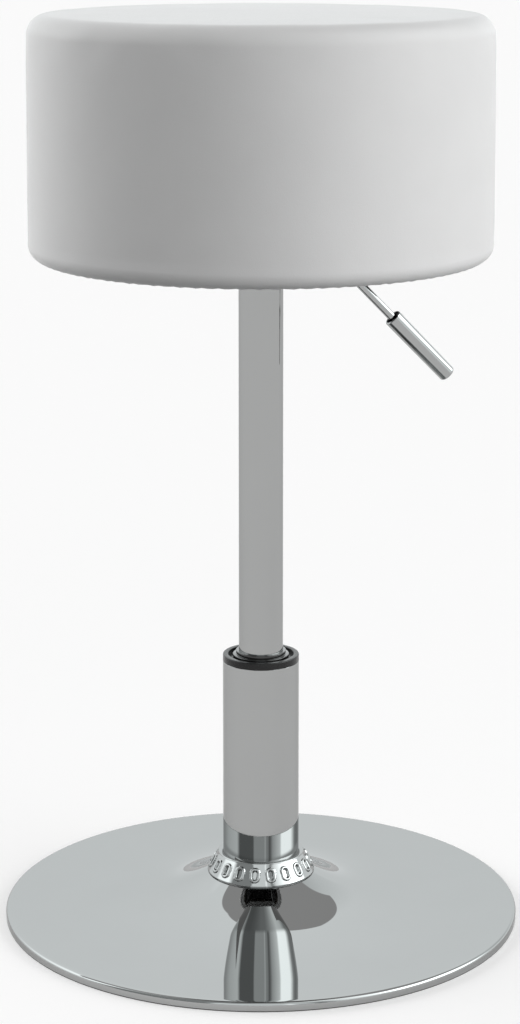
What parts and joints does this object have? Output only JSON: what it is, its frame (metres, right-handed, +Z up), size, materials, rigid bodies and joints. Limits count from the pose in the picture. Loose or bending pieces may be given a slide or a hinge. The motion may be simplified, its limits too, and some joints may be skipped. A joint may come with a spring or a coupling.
{
  "type": "vanity stool",
  "caption": "Round stool with a thick upholstered drum seat on a height-adjustable gas-lift column, a round trumpet-shaped base and a bent release lever",
  "frame": {"origin": "centre of the bounding box, on the floor", "axes": "z up along the column, x along the release lever, y to the left of the lever seen from behind it"},
  "size_m": [0.385, 0.385, 0.678],
  "materials": {
    "chrome_bright": "polished chrome plating",
    "rubber_black": "matte moulded rubber",
    "iron_grey": "rough casting, primed",
    "steel_plain": "turned and zinc plated",
    "steel_screw": "zinc plated",
    "steel_black": "black powder coat",
    "plastic_black": "moulded, satin",
    "plastic_gloss_black": "moulded, glossy",
    "brass_cage": "stamped or sintered, plain",
    "aluminium_plain": "turned",
    "plywood": "raw birch plywood",
    "cloth_black": "non-woven, matte",
    "foam_cream": "open-cell foam",
    "leather_pale": "smooth pale grey-white artificial leather, satin"
  },
  "bodies": {
    "base": {"base_shell": "chrome_bright", "floor_ring": "rubber_black", "cast_weight": "iron_grey", "base_hub": "steel_plain", "foot_screw_set": "steel_screw", "outer_tube": "chrome_bright", "tube_plug": "steel_plain", "trim_ring": "chrome_bright", "guide_collar": "plastic_black", "wiper_ring": "plastic_gloss_black", "lower_race": "steel_plain"},
    "cage": {"ball_cage": "brass_cage", "bearing_balls": "steel_screw"},
    "swivel": {"piston_rod": "chrome_bright", "rod_clip": "steel_screw", "rod_washer": "steel_plain", "upper_race": "steel_plain", "bump_stop": "rubber_black", "piston": "aluminium_plain", "piston_seal": "rubber_black"},
    "lift": {"upper_post": "chrome_bright", "rod_guide": "brass_cage", "rod_seal": "rubber_black", "valve_body": "steel_plain", "valve_spring": "steel_screw", "bracket_socket": "steel_black", "bracket_plate": "steel_black", "seat_bolts": "steel_screw", "t_nuts": "steel_screw", "pivot_pin": "steel_screw", "pivot_clips": "steel_screw", "seat_board": "plywood", "seat_ring": "plywood", "dust_cloth": "cloth_black", "foam_pad": "foam_cream", "foam_wrap": "foam_cream", "seat_cover": "leather_pale", "staples": "steel_screw"},
    "release": {"release_pin": "steel_screw"},
    "lever": {"lever_rocker": "steel_plain", "lever_rod": "chrome_bright", "lever_handle": "chrome_bright", "handle_core": "plastic_black"}
  },
  "joints": [
    {"name": "seat_swivel", "type": "hinge", "parent": "base", "child": "swivel", "pos_m": [0, 0, 0.025], "axis": [0, 0, 1], "continuous": true},
    {"name": "cage_turn", "type": "hinge", "parent": "base", "child": "cage", "pos_m": [0, 0, 0.025], "axis": [0, 0, 1], "continuous": true},
    {"name": "seat_lift", "type": "slide", "parent": "swivel", "child": "lift", "axis": [0, 0, 1], "range_m": [-0.105, 0]},
    {"name": "lever", "type": "hinge", "parent": "lift", "child": "lever", "pos_m": [0.026, 0, 0.50695], "axis": [0, -1, 0], "range_deg": [0, 6], "stiffness_Nm_per_rad": 1.5, "springref_deg": -11.46},
    {"name": "release", "type": "slide", "parent": "lift", "child": "release", "axis": [0, 0, -1], "range_m": [0, 0.0028], "deforming": ["valve_spring"]}
  ],
  "couplings": [
    {"joint": "cage_turn", "follows": "seat_swivel", "ratio": 0.5},
    {"joint": "release", "follows": "lever", "m_per_rad": 0.026}
  ]
}
